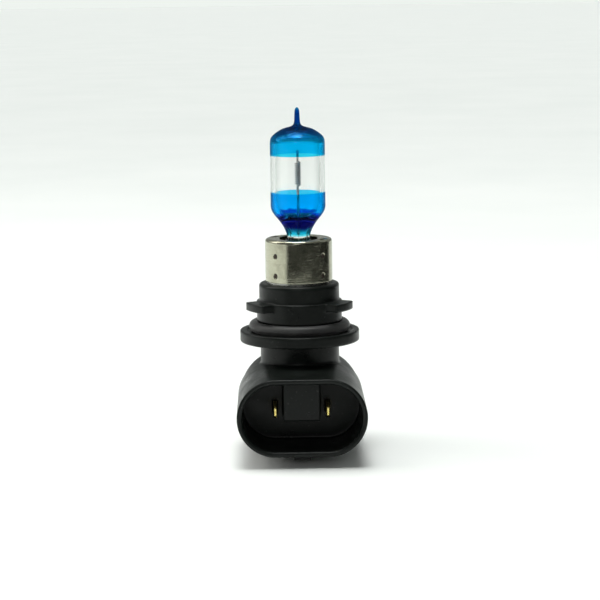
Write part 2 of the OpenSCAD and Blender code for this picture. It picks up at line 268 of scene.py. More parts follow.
def resin():
    m, nt, out = material("potting")
    p = position(nt)
    cloud = noise(nt, p, 420, 5.0, 0.6, 0.5)
    colour = ramp(nt, cloud, [(0.3, (0.05, 0.032, 0.02)), (0.7, (0.13, 0.09, 0.06))])
    principled(nt, out, Base_Color=colour, Roughness=remap(nt, cloud, 0.3, 0.7, 0.25, 0.5), Normal=bump(nt, cloud, 0.00015, 0.5))
    return m


def grazing(nt, lo, hi):
    """0 where the glass is seen square on, 1 at its rim; the colour darkened there is painted shade, and on the dyed
    film also the longer way a ray takes through the dye.
    """
    return remap(nt, node(nt, "ShaderNodeLayerWeight").outputs["Facing"], lo, hi, 0.0, 1.0)


def quartz():
    m, nt, out = material("quartz_glass")
    p = position(nt)
    streaks = noise(nt, mapped(nt, p, (330, 330, 60)), 1.0, 2.0, 0.5)
    fine = noise(nt, p, 900, 2.0, 0.5)
    r = remap(nt, fine, 0.60, 0.85, 0.0, 0.03)
    nrm = bump(nt, streaks, 0.00010, 0.10)
    # Painted shade: the clear glass is greyed at its rim, standing in for the dark room that the bending glass shows
    # there.
    colour = mix_colour(nt, grazing(nt, 0.30, 0.95), (0.978, 0.988, 0.982), (0.30, 0.37, 0.33))
    principled(nt, out, Base_Color=colour, Roughness=r, IOR=1.458, Transmission_Weight=1.0, Normal=nrm)
    return m


def film(name, stops, haze):
    """A dyed see-through coating: straight passing, so the glass below it does the bending. stops are (height, colour),
    and on the neck a colour carries painted shade as well as dye; the rim is darkened partly for the longer way through
    the dye and partly as painted shade.
    """
    m, nt, out = material(name)
    p = position(nt)
    cloud = noise(nt, mapped(nt, p, (1, 1, 0.30)), 300, 3.0, 0.55, 0.3)
    ripple = noise(nt, p, 900, 2.0, 0.5)
    z = math_node(nt, "ADD", axis_z(nt, p), remap(nt, cloud, 0.3, 0.7, -0.00035, 0.00035))
    lo, hi = stops[0][0] * MM, stops[-1][0] * MM
    f = remap(nt, z, lo, hi, 0.0, 1.0)
    tint = ramp(nt, f, [((h * MM - lo) / (hi - lo), c) for h, c in stops])
    tint = mix_colour(nt, remap(nt, cloud, 0.40, 0.72, 0.0, 0.30), tint, haze, "MULTIPLY")
    # rim darkening: partly the longer way through the dye, partly painted shade
    tint = mix_colour(nt, grazing(nt, 0.45, 0.95), tint, (0.38, 0.42, 0.48), "MULTIPLY")
    principled(nt, out, Base_Color=tint, Transmission_Weight=1.0, IOR=1.0, Roughness=0.0, Coat_Weight=0.10, Coat_Roughness=0.03,
               Coat_IOR=1.5, Normal=bump(nt, ripple, 0.00002, 0.15))
    return m


def floor_paint():
    m, nt, out = material("floor_paper")
    p = position(nt)
    cloud = noise(nt, p, 9, 4.0, 0.6)
    grain = noise(nt, p, 900, 3.0, 0.6)
    colour = ramp(nt, cloud, [(0.3, (0.91, 0.925, 0.91)), (0.7, (0.945, 0.955, 0.94))])
    principled(nt, out, Base_Color=colour, Roughness=0.75, Specular_IOR_Level=0.0, Normal=bump(nt, grain, 0.00005, 0.2))
    return m


M_GLASS = quartz()
# The last of these three colours is painted shade, used for the dark band on the neck.
UPPER, LOWER, SHADE_NAVY = (0.030, 0.68, 0.965), (0.012, 0.60, 0.98), (0.010, 0.030, 0.46)
M_COAT_TIP = film("blue_filter_tip", [(35.8, UPPER), (39.3, UPPER), (40.0, (0.02, 0.56, 0.90)), (41.6, (0.015, 0.42, 0.80)), (42.6, (0.01, 0.16, 0.44)), (46.1, (0.012, 0.20, 0.48)), (46.95, (0.08, 0.62, 0.82))], (0.80, 0.90, 0.97))
# The dark band from 19.5 to 21.55 mm on the neck is painted shade: the coat has the same blue there, and the dark
# stands for the light that the thick, slanted glass of the neck turns away.
M_COAT_NECK = film("blue_filter_neck", [(17.2, (0.30, 0.84, 0.92)), (18.0, (0.10, 0.74, 0.88)), (18.8, (0.08, 0.62, 0.84)), (19.5, SHADE_NAVY), (21.55, SHADE_NAVY), (22.0, LOWER), (27.2, LOWER)], (0.80, 0.90, 0.97))
M_TUNGSTEN = wire_metal("tungsten", (0.30, 0.30, 0.31), 0.42)
M_MOLY = wire_metal("molybdenum", (0.58, 0.57, 0.55), 0.32)
M_NICKEL = wire_metal("nickel_wire", (0.66, 0.64, 0.60), 0.30)
M_STEEL = steel("collar_steel", (0.47, 0.465, 0.36), 0.19, dark=(0.27, 0.265, 0.20))
M_CLIP = steel("clip_steel", (0.60, 0.60, 0.57), 0.26, (1500, 1500, 2600))
M_WELD = weld_metal()
M_PLASTIC = black_plastic("base_plastic", (0.0056, 0.0074, 0.0064), 0.34, 5200, 0.000012)
M_COVER = black_plastic("cover_plastic", (0.013, 0.015, 0.014), 0.45, 3800, 0.00002)
M_RUBBER = rubber()
M_PIN = plated()
M_RESIN = resin()


# ------------------------------------------------------------------ mesh helpers
def add_mesh(name, verts, faces, mat, smooth_angle=None, normals=None):
    me = bpy.data.meshes.new(name)
    me.from_pydata((np.asarray(verts, float) * MM).tolist(), [], [tuple(int(i) for i in f) for f in faces])
    me.materials.append(mat)
    me.update()
    me.shade_smooth()
    if smooth_angle:
        me.set_sharp_from_angle(angle=math.radians(smooth_angle))
    if normals is not None:
        me.normals_split_custom_set_from_vertices(normals.tolist())
    ob = bpy.data.objects.new(name, me)
    scene.collection.objects.link(ob)
    return ob


def attach(ob, slot, *nodes):
    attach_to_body(ob, "root")
    if nodes:
        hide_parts(*nodes)
    return ob


def pchip(s, y, q):
    """Smooth curve through the points that never overshoots them."""
    s, y, q = (np.asarray(v, float) for v in (s, y, q))
    h = np.diff(s)
    d = np.diff(y) / h
    m = np.zeros(len(s))
    for i in range(1, len(s) - 1):
        if d[i - 1] * d[i] > 0:
            w1, w2 = 2 * h[i] + h[i - 1], h[i] + 2 * h[i - 1]
            m[i] = (w1 + w2) / (w1 / d[i - 1] + w2 / d[i])
    m[0], m[-1] = d[0], d[-1]
    i = np.clip(np.searchsorted(s, q, side="right") - 1, 0, len(s) - 2)
    t = (q - s[i]) / h[i]
    return ((2 * t**3 - 3 * t**2 + 1) * y[i] + (t**3 - 2 * t**2 + t) * h[i] * m[i]
            + (-2 * t**3 + 3 * t**2) * y[i + 1] + (t**3 - t**2) * h[i] * m[i + 1])


def rows_smooth(rows, step):
    """Rows of (z, half width x, half width y, exponent), resampled evenly along the outline."""
    rows = np.asarray(rows, float)
    d = np.hypot(np.diff(rows[:, 0]), np.maximum(abs(np.diff(rows[:, 1])), abs(np.diff(rows[:, 2]))))
    s = np.concatenate([[0], np.cumsum(d)])
    q = np.linspace(0, s[-1], max(8, int(s[-1] / step)))
    return np.stack([pchip(s, rows[:, k], q) for k in range(4)], 1)


def ring(row, n, grow=0.0):
    z, a, b, e = row
    t = np.arange(n) * 2 * math.pi / n
    a, b = max(a + grow, 1e-4), max(b + grow, 1e-4)
    r = (abs(np.cos(t) / a) ** e + abs(np.sin(t) / b) ** e) ** (-1 / e)
    return np.stack([r * np.cos(t), r * np.sin(t), np.full(n, z)], 1)


def skin(rings, first=0, flip=False):
    """Quads between consecutive rings."""
    m, n = len(rings), len(rings[0])
    f = []
    for i in range(m - 1):
        for k in range(n):
            a, b = first + i * n + k, first + i * n + (k + 1) % n
            q = (a, b, b + n, a + n)
            f.append(q[::-1] if flip else q)
    return f


def closed_loft(rings, flip=False):
    """A closed solid skin over the rings, with a point at each end."""
    n = len(rings[0])
    verts = np.concatenate(rings)
    faces = skin(rings, 0, flip)
    lo, hi = len(verts), len(verts) + 1
    verts = np.concatenate([verts, [rings[0].mean(0)], [rings[-1].mean(0)]])
    last = (len(rings) - 1) * n
    for k in range(n):
        a = (lo, (k + 1) % n, k)
        b = (hi, last + k, last + (k + 1) % n)
        faces += [a[::-1], b[::-1]] if flip else [a, b]
    return verts, faces


def join(*parts):
    verts, faces, base = [], [], 0
    for v, f in parts:
        verts.append(v)
        faces += [tuple(i + base for i in q) for q in f]
        base += len(v)
    return np.concatenate(verts), faces


def lathe(points, n=144):
    """A closed outline of (radius, height) turned round Z, counter-clockwise."""
    t = np.arange(n) * 2 * math.pi / n
    pts = np.asarray(points, float)
    m = len(pts)
    verts = np.stack([np.outer(pts[:, 0], np.cos(t)), np.outer(pts[:, 0], np.sin(t)), np.repeat(pts[:, 1:2], n, 1)], 2).reshape(-1, 3)
    faces = []
    for i in range(m):
        j = (i + 1) % m
        for k in range(n):
            l = (k + 1) % n
            faces.append((i * n + k, i * n + l, j * n + l, j * n + k))
    return verts, faces


def rounded(points, radii, steps=5):
    """Rounds each corner of a closed outline."""
    pts = [np.array(p, float) for p in points]
    out = []
    for i, p in enumerate(pts):
        r = radii[i] if isinstance(radii, (list, tuple)) else radii
        a, b = pts[i - 1] - p, pts[(i + 1) % len(pts)] - p
        la, lb = np.linalg.norm(a), np.linalg.norm(b)
        a, b = a / la, b / lb
        half = math.acos(np.clip(a @ b, -1, 1)) / 2
        if r <= 0 or half > 1.55:
            out.append(p)
            continue
        d = min(r / math.tan(half), 0.48 * la, 0.48 * lb)
        r = d * math.tan(half)
        c = p + (a + b) / np.linalg.norm(a + b) * (r / math.sin(half))
        s, e = p + a * d - c, p + b * d - c
        a0 = math.atan2(s[1], s[0])
        da = (math.atan2(e[1], e[0]) - a0 + math.pi) % (2 * math.pi) - math.pi
        for k in range(steps + 1):
            g = a0 + da * k / steps
            out.append(c + r * np.array([math.cos(g), math.sin(g)]))
    return out


def sweep(path, r, n=16, squash=None):
    """A round wire along a path, with bevelled ends."""
    p = np.asarray(path, float)
    t = np.gradient(p, axis=0)
    t /= np.linalg.norm(t, axis=1)[:, None]
    ref = np.array([1.0, 0, 0]) if abs(t[0][0]) < 0.8 else np.array([0, 1.0, 0])
    u = ref - (ref @ t[0]) * t[0]
    u /= np.linalg.norm(u)
    us = []
    for i in range(len(p)):
        u = u - (u @ t[i]) * t[i]
        u /= np.linalg.norm(u)
        us.append(u.copy())
    ang = np.arange(n) * 2 * math.pi / n
    radii = np.full(len(p), float(r))
    rings = []

    def loop(i, rad, off=0.0):
        u, w = us[i], np.cross(t[i], us[i])
        return p[i] + t[i] * off + rad * (np.outer(np.cos(ang), u) + np.outer(np.sin(ang), w))

    bev = r * 0.25
    rings.append(loop(0, r - bev))
    for i in range(len(p)):
        rings.append(loop(i, radii[i], bev if i == 0 else (-bev if i == len(p) - 1 else 0)))
    rings.append(loop(len(p) - 1, r - bev))
    return closed_loft(rings)


def arc(centre, radius, a0, a1, steps, plane="yz", x=0.0):
    out = []
    for k in range(steps + 1):
        a = math.radians(a0 + (a1 - a0) * k / steps)
        u, v = centre[0] + radius * math.cos(a), centre[1] + radius * math.sin(a)
        out.append((x, u, v) if plane == "yz" else (u, x, v))
    return out


def line(a, b, steps):
    a, b = np.array(a, float), np.array(b, float)
    return [tuple(a + (b - a) * k / steps) for k in range(steps + 1)]


def chain(*parts):
    out = []
    for p in parts:
        for q in p:
            if not out or np.linalg.norm(np.array(q) - np.array(out[-1])) > 1e-4:
                out.append(q)
    return out


# ------------------------------------------------------------------ solids by distance fields
def smin(a, b, k):
    h = np.maximum(k - abs(a - b), 0) / k
    return np.minimum(a, b) - h * h * k * 0.25


def smax(a, b, k):
    return -smin(-a, -b, k)


def inside2(u, v, r):
    """Distance from two slab distances, with the convex edge rounded by r."""
    u, v = u + r, v + r
    return np.minimum(np.maximum(u, v), 0) + np.hypot(np.maximum(u, 0), np.maximum(v, 0)) - r


def inside3(u, v, w, r):
    u, v, w = u + r, v + r, w + r
    return (np.minimum(np.maximum(np.maximum(u, v), w), 0)
            + np.sqrt(np.maximum(u, 0) ** 2 + np.maximum(v, 0) ** 2 + np.maximum(w, 0) ** 2) - r)


def slab(c, lo, hi):
    return abs(c - (lo + hi) / 2) - (hi - lo) / 2


def disc(x, y, z, radius, lo, hi, r):
    return inside2(np.hypot(x, y) - radius, slab(z, lo, hi), r)


def brick(x, y, z, lo, hi, r):
    return inside3(slab(x, lo[0], hi[0]), slab(y, lo[1], hi[1]), slab(z, lo[2], hi[2]), r)


def track(x, z, w, h):
    """Distance from an oval with straight top and bottom and round ends."""
    return np.hypot(np.maximum(abs(x) - (w - h) / 2, 0), z) - h / 2


def from_field(name, field, lo, hi, step, mat):
    """A mesh of a distance field with one vertex in each cell that the surface crosses, set where the tangent planes meet, so edges stay crisp."""
    lo, hi = np.array(lo, float) - 3.37 * step, np.array(hi, float) + 3.37 * step
    n = np.ceil((hi - lo) / step).astype(int) + 1
    xs, ys, zs = (lo[i] + np.arange(n[i]) * step for i in range(3))
    values = np.empty(n)
    for i in range(0, n[0], 16):
        X, Y, Z = np.meshgrid(xs[i:i + 16], ys, zs, indexing="ij")
        values[i:i + 16] = field(X, Y, Z)

    def f(p):
        return field(p[:, 0], p[:, 1], p[:, 2])

    def slope(p, e=0.004):
        g = np.empty_like(p)
        for a in range(3):
            d = np.zeros(3)
            d[a] = e
            g[:, a] = (f(p + d) - f(p - d)) / (2 * e)
        return g / np.maximum(np.linalg.norm(g, axis=1), 1e-9)[:, None]

    points, normals, quads = [], [], []
    for a in range(3):
        low, high = [slice(None)] * 3, [slice(None)] * 3
        low[a], high[a] = slice(0, -1), slice(1, None)
        v0, v1 = values[tuple(low)], values[tuple(high)]
        at = np.argwhere((v0 < 0) != (v1 < 0))
        i0 = tuple(at.T)
        fa, fb = v0[i0], v1[i0]
        ta, tb = np.zeros(len(at)), np.ones(len(at))
        start, way = lo + at * step, np.eye(3)[a] * step
        for _ in range(3):
            t = ta + (tb - ta) * fa / (fa - fb)
            ft = f(start + t[:, None] * way)
            same = (ft < 0) == (fa < 0)
            ta, fa = np.where(same, t, ta), np.where(same, ft, fa)
            tb, fb = np.where(same, tb, t), np.where(same, fb, ft)
            fb = np.where(fa == fb, fb + 1e-12, fb)
        p = start + (ta + (tb - ta) * fa / (fa - fb))[:, None] * way
        points.append(p)
        normals.append(slope(p))
        b, c = [(1, 2), (2, 0), (0, 1)][a]
        around = []
        for db, dc in ((-1, -1), (0, -1), (0, 0), (-1, 0)):
            q = at.copy()
            q[:, b] += db
            q[:, c] += dc
            around.append((q[:, 0] * n[1] + q[:, 1]) * n[2] + q[:, 2])
        quads.append(np.stack(around, 1))
    P, N, Q = np.concatenate(points), np.concatenate(normals), np.concatenate(quads)
    cells, inverse = np.unique(Q, return_inverse=True)
    Q = inverse.reshape(Q.shape)
    m, flat, rep = len(cells), Q.reshape(-1), np.repeat(np.arange(len(P)), 4)

    def total(w):
        return np.bincount(flat, weights=w[rep], minlength=m)

    count = total(np.ones(len(P)))
    c = np.stack([total(P[:, k]) for k in range(3)], 1) / count[:, None]
    ata = np.empty((m, 3, 3))
    for k in range(3):
        for l in range(k, 3):
            ata[:, k, l] = ata[:, l, k] = total(N[:, k] * N[:, l])
    reach = (N * P).sum(1)
    rhs = np.stack([total(N[:, k] * reach) for k in range(3)], 1) - np.einsum("mkl,ml->mk", ata, c)
    p = c + np.linalg.solve(ata + np.eye(3) * 0.06, rhs[:, :, None])[:, :, 0]
    corner = lo + np.stack(np.unravel_index(cells, tuple(n)), 1) * step
    p = np.clip(p, corner - 0.02 * step, corner + 1.02 * step)
    p = np.clip(p, np.array(CAD_BOX[0]) / MM + 0.0005, np.array(CAD_BOX[1]) / MM - 0.0005)
    g = np.stack([total(N[:, k]) for k in range(3)], 1)
    g /= np.maximum(np.linalg.norm(g, axis=1), 1e-9)[:, None]
    turn = (np.cross(p[Q[:, 1]] - p[Q[:, 0]], p[Q[:, 2]] - p[Q[:, 0]]) + np.cross(p[Q[:, 2]] - p[Q[:, 0]], p[Q[:, 3]] - p[Q[:, 0]]))
    Q = np.where(((turn * N).sum(1) < 0)[:, None], Q[:, ::-1], Q)
    return add_mesh(name, p, Q.tolist(), mat, normals=g)


# ------------------------------------------------------------------ glass capsule
outer_rows = rows_smooth([
    (8.00, 2.05, 4.55, 3.6), (8.15, 2.28, 4.78, 4.0), (8.45, 2.38, 4.88, 4.5), (12.0, 2.40, 4.90, 5.0), (15.3, 2.42, 4.90, 4.8),
    (16.46, 2.58, 4.95, 4.0), (17.56, 2.74, 5.06, 3.4), (18.26, 3.00, 5.18, 3.0), (18.93, 3.30, 5.33, 2.75),
    (19.66, 3.72, 5.52, 2.55), (20.38, 4.22, 5.72, 2.38), (21.10, 4.80, 5.92, 2.24), (21.79, 5.40, 6.08, 2.12),
    (22.50, 5.88, 6.20, 2.05), (23.20, 6.20, 6.30, 2.01), (24.1, 6.35, 6.35, 2.0), (30.0, 6.35, 6.35, 2.0), (38.2, 6.35, 6.35, 2.0),
    (39.00, 6.32, 6.32, 2.0), (39.55, 6.22, 6.22, 2.0), (40.05, 5.98, 5.98, 2.0), (40.62, 5.42, 5.42, 2.0),
    (41.34, 4.45, 4.45, 2.0), (41.84, 3.55, 3.55, 2.0), (42.16, 2.60, 2.60, 2.0), (42.38, 1.75, 1.75, 2.0), (42.66, 1.12, 1.12, 2.0),
    (43.10, 0.76, 0.76, 2.0), (43.90, 0.61, 0.61, 2.0), (44.90, 0.56, 0.56, 2.0), (45.90, 0.51, 0.51, 2.0), (46.45, 0.41, 0.41, 2.0), (46.74, 0.26, 0.26, 2.0), (46.86, 0.12, 0.12, 2.0), (46.89, 0.02, 0.02, 2.0),
], 0.2)
inner_rows = rows_smooth([
    (20.95, 0.05, 0.08, 2.0), (20.96, 1.2, 1.4, 2.0), (21.00, 2.1, 2.4, 2.05), (21.14, 2.9, 3.2, 2.08), (21.50, 3.6, 3.95, 2.08),
    (22.10, 4.22, 4.50, 2.06), (22.90, 4.76, 4.90, 2.03), (23.7, 5.08, 5.11, 2.0), (24.6, 5.2, 5.2, 2.0), (38.5, 5.2, 5.2, 2.0),
    (39.1, 5.11, 5.11, 2.0), (39.6, 4.88, 4.88, 2.0), (40.0, 4.5, 4.5, 2.0), (40.5, 3.75, 3.75, 2.0), (40.88, 2.9, 2.9, 2.0), (41.13, 2.0, 2.0, 2.0),
    (41.27, 1.1, 1.1, 2.0), (41.30, 0.4, 0.4, 2.0), (41.305, 0.05, 0.05, 2.0),
], 0.2)
NG = 128
outer_part = closed_loft([ring(r, NG) for r in outer_rows])
inner_part = closed_loft([ring(r, NG) for r in inner_rows], flip=True)
glass = add_mesh("quartz_envelope", *join(outer_part, inner_part), M_GLASS)
attach(glass, "quartz_glass", "glass_capsule")


def offset_rows(rows, g):
    """The rows moved outwards by g, square to the outline."""
    rows = np.array(rows, float)
    dz, da, db = np.gradient(rows[:, 0]), np.gradient(rows[:, 1]), np.gradient(rows[:, 2])
    la, lb = np.hypot(dz, da), np.hypot(dz, db)
    out = rows.copy()
    out[:, 1] += g * dz / la
    out[:, 2] += g * dz / lb
    out[:, 0] -= g * (da / la + db / lb) / 2
    return out


def coating(name, z0, z1, mat, cad):
    """A thin closed skin outside the glass, between two heights; above the glass's tip it closes over it."""
    inside = [r for r in outer_rows if z0 + 0.05 < r[0] < z1 - 0.05]
    lo = [np.interp(z0, outer_rows[:, 0], outer_rows[:, k]) for k in range(4)]
    rows = [lo] + inside
    capped = z1 > outer_rows[-1][0]
    if not capped:
        rows.append([np.interp(z1, outer_rows[:, 0], outer_rows[:, k]) for k in range(4)])
    rows = np.array(rows)
    n = NG
    a, b = offset_rows(rows, 0.046), offset_rows(rows, 0.012)
    for r in (a, b):
        r[0, 0] = z0
        if not capped:
            r[-1, 0] = z1
    outer, inner = [ring(r, n) for r in a], [ring(r, n) for r in b]
    verts, faces = np.concatenate(outer + inner), skin(outer) + skin(inner, len(outer) * n, True)
    base_i = len(outer) * n
    faces += [(k, base_i + k, base_i + (k + 1) % n, (k + 1) % n) for k in range(n)]
    lo_, li_ = (len(outer) - 1) * n, base_i + (len(inner) - 1) * n
    if capped:
        ta, tb = len(verts), len(verts) + 1
        verts = np.concatenate([verts, [[0, 0, a[-1, 0] + 0.008]], [[0, 0, b[-1, 0] + 0.004]]])
        for k in range(n):
            faces += [(ta, lo_ + k, lo_ + (k + 1) % n), (tb, li_ + (k + 1) % n, li_ + k)]
    else:
        faces += [(lo_ + k, lo_ + (k + 1) % n, li_ + (k + 1) % n, li_ + k) for k in range(n)]
    ob = add_mesh(name, verts, faces, mat, 50)
    return attach(ob, "blue_filter", cad)


coating("coating_tip", WINDOW_HIGH, 50, M_COAT_TIP, "coat_tip")
coating("coating_neck", COAT_LOW + 0.1, WINDOW_LOW, M_COAT_NECK, "coat_neck")

# ------------------------------------------------------------------ filament, wires, foils
COIL_LOW, COIL_HIGH, TAIL, TURNS, COIL_R, WIRE_R = 28.95, 34.05, 0.95, 11, 0.63, 0.12


def coil_point(t):
    a = 2 * math.pi * t
    return (COIL_R * math.cos(a), COIL_R * math.sin(a), COIL_LOW + 5.1 * t / TURNS)


coil = ([(0, 0, COIL_LOW - TAIL), (0, 0, COIL_LOW - 0.7), (0.02, 0, COIL_LOW - 0.5), (0.12, 0, COIL_LOW - 0.33), (0.33, -0.01, COIL_LOW - 0.2), (0.54, -0.02, COIL_LOW - 0.08)]
        + [coil_point(i / 28) for i in range(28 * TURNS + 1)]
        + [(0.54, 0.02, COIL_HIGH + 0.08), (0.33, 0.01, COIL_HIGH + 0.2), (0.12, 0, COIL_HIGH + 0.33), (0.02, 0, COIL_HIGH + 0.5), (0, 0, COIL_HIGH + 0.7), (0, 0, COIL_HIGH + TAIL)])
attach(add_mesh("filament", *sweep(coil, WIRE_R, 12), M_TUNGSTEN, 50), "tungsten", "filament_coil")

h = LEAD_Y / 2
top = COIL_HIGH + TAIL + 0.4
long_path = chain(line((0, LEAD_Y, 17.7), (0, LEAD_Y, top), 30), arc((h, top), h, 0, 180, 24), line((0, 0, top), (0, 0, COIL_HIGH + TAIL), 4))
attach(add_mesh("support_wire_long", *sweep(long_path, 0.3, 20), M_MOLY, 50), "molybdenum", "lead_in_long")
end = COIL_LOW - TAIL
short_path = chain(line((0, -LEAD_Y, 17.7), (0, -LEAD_Y, end - LEAD_Y), 14), arc((-h, end - LEAD_Y), h, 180, 90, 12), arc((-h, end), h, 270, 360, 12))
attach(add_mesh("support_wire_short", *sweep(short_path, 0.3, 20), M_MOLY, 50), "molybdenum", "lead_in_short")


def foil(name, y, cad):
    """A thin strip with feathered long edges."""
    w, t, z0, z1 = 1.0, 0.03, 10.8, 18.6
    sec = [(t, -w * 0.7), (t, w * 0.7), (0.008, w), (-t, w * 0.7), (-t, -w * 0.7), (-0.008, -w)]
    rings = []
    for k in range(25):
        z = z0 + (z1 - z0) * k / 24
        wave = 0.012 * math.sin(k * 0.9)
        rings.append(np.array([(t * 1.0 + a + wave, y + b, z) for a, b in sec]))
    return attach(add_mesh(name, *closed_loft(rings), M_MOLY, 30), "molybdenum", cad)


foil("sealing_foil_front", -LEAD_Y, "foil_front")
foil("sealing_foil_rear", LEAD_Y, "foil_rear")


def outer_wire(name, y, side, cad):
    bz, br, lx = -14.6, 1.0, 5.25
    path = chain(
        line((0, y, 11.8), (0, y, bz), 40),
        [(side * (br - br * math.cos(a)), y, bz - br * math.sin(a)) for a in np.linspace(0, math.pi / 2, 10)],
        line((side * br, y, bz - br), (side * (lx - br), y, bz - br), 8),
        [(side * (lx - br + br * math.sin(a)), y, bz - br - br * (1 - math.cos(a))) for a in np.linspace(0, math.pi / 2, 10)],
        line((side * lx, y, bz - 2 * br), (side * lx, y, bz - 2 * br - 3), 6))
    return attach(add_mesh(name, *sweep(path, 0.4, 20), M_NICKEL, 50), "nickel_wire", cad)


outer_wire("feed_wire_front", -LEAD_Y, -1, "outer_lead_front")
outer_wire("feed_wire_rear", LEAD_Y, 1, "outer_lead_rear")


# ------------------------------------------------------------------ collar
def sleeve_field(x, y, z):
    rr = np.hypot(x, y)
    outer = inside2(rr - COLLAR_R, slab(z, COLLAR_LOW - 5, COLLAR_TOP), 0.75)
    inner = inside2(rr - (COLLAR_R - SHEET), slab(z, COLLAR_LOW - 5, COLLAR_TOP - SHEET), 0.35)
    d = smax(smax(outer, COLLAR_LOW - z, 0.12), -inner, 0.12)
    # the oval opening in the top, with its edge rounded
    hole = track(y, x, OPEN_L, OPEN_W)
    d = smax(d, -hole, 0.35)
    for a in (150, 330):
        c, s = math.cos(math.radians(a)), math.sin(math.radians(a))
        u, v = x * c + y * s, -x * s + y * c
        d = smax(d, -inside3(slab(u, 5.75, 6.95), slab(v, -1.8, 1.8), slab(z, COLLAR_TOP - 2, COLLAR_TOP + 2), 0.25), 0.12)
    for zz in (8.2, 12.8):
        for a in (45, 135, 225, 315):
            c, s = math.cos(math.radians(a)), math.sin(math.radians(a))
            u, v = x * c + y * s, -x * s + y * c
            d = smax(d, -inside2(np.hypot(v, z - zz) - 0.62, slab(u, COLLAR_R - 0.15, COLLAR_R + 2), 0.05), 0.10)
    return d


sleeve = from_field("collar_shell", sleeve_field, (-COLLAR_R, -COLLAR_R, COLLAR_LOW), (COLLAR_R, COLLAR_R, COLLAR_TOP), 0.125, M_STEEL)
attach(sleeve, "collar_steel", "collar_sleeve")


def clip_field(x, y, z):
    rr = np.hypot(x, y)
    r = COLLAR_R - SHEET - 0.02
    plate = inside2(rr - r, slab(z, 13.2, 13.6), 0.15)
    plate = smax(plate, -inside2(slab(x, -2.8, 2.8), slab(y, -5.3, 5.3), 0.3), 0.1)
    skirt = smax(smax(rr - r, (r - SHEET) - rr, 0.1), slab(z, 9.8, 13.4), 0.1)
    for a in (0, 90, 180, 270):
        c, s = math.cos(math.radians(a)), math.sin(math.radians(a))
        u, v = x * c + y * s, -x * s + y * c
        skirt = np.maximum(skirt, -inside3(slab(u, 5, 10), slab(v, -1.3, 1.3), slab(z, 10.6, 11.8), 0.2))
    d = smin(plate, skirt, 0.25)
    ax = abs(x)
    # tongues that grip the pinch, with the upper ends flared outwards
    flare = np.maximum(z - 14.9, 0) ** 2 * 0.45
    tongue = inside3(slab(ax - flare, 2.43, 2.8), slab(y, -3.6, 3.6), slab(z, 9.9, 15.7), 0.12)
    return smin(d, tongue, 0.3)


clip = from_field("pinch_holder", clip_field, (-7.5, -7.5, 9.8), (7.5, 7.5, 15.8), 0.13, M_CLIP)
attach(clip, "collar_steel", "pinch_clip")

ring_pts = rounded([(6.95, 1.0), (7.45, 1.0), (7.45, 9.5), (6.95, 9.5)], 0.1)
attach(add_mesh("anchor_band", *lathe(ring_pts), M_CLIP, 60), "collar_steel", "anchor_ring")

# spot welds: a shallow crater in a raised rim
weld_parts = []
for zz in (8.2, 12.8):
    for a in (45, 135, 225, 315):
        prof = [(0.001, 0.035), (0.18, 0.03), (0.30, 0.045), (0.40, 0.085), (0.47, 0.095), (0.54, 0.06), (0.55, 0.0), (0.001, 0.0)]
        n = 28
        t = np.arange(n) * 2 * math.pi / n
        rings = [np.stack([np.full(n, COLLAR_R - 0.148 + hh), rr_ * np.cos(t), rr_ * np.sin(t) + zz], 1) for rr_, hh in reversed(prof)]
        v, f = closed_loft(rings)
        R = np.array(Matrix.Rotation(math.radians(a), 3, "Z"))
        weld_parts.append((v @ R.T, f))
attach(add_mesh("weld_marks", *join(*weld_parts), M_WELD, 60), "weld", "weld_spots")


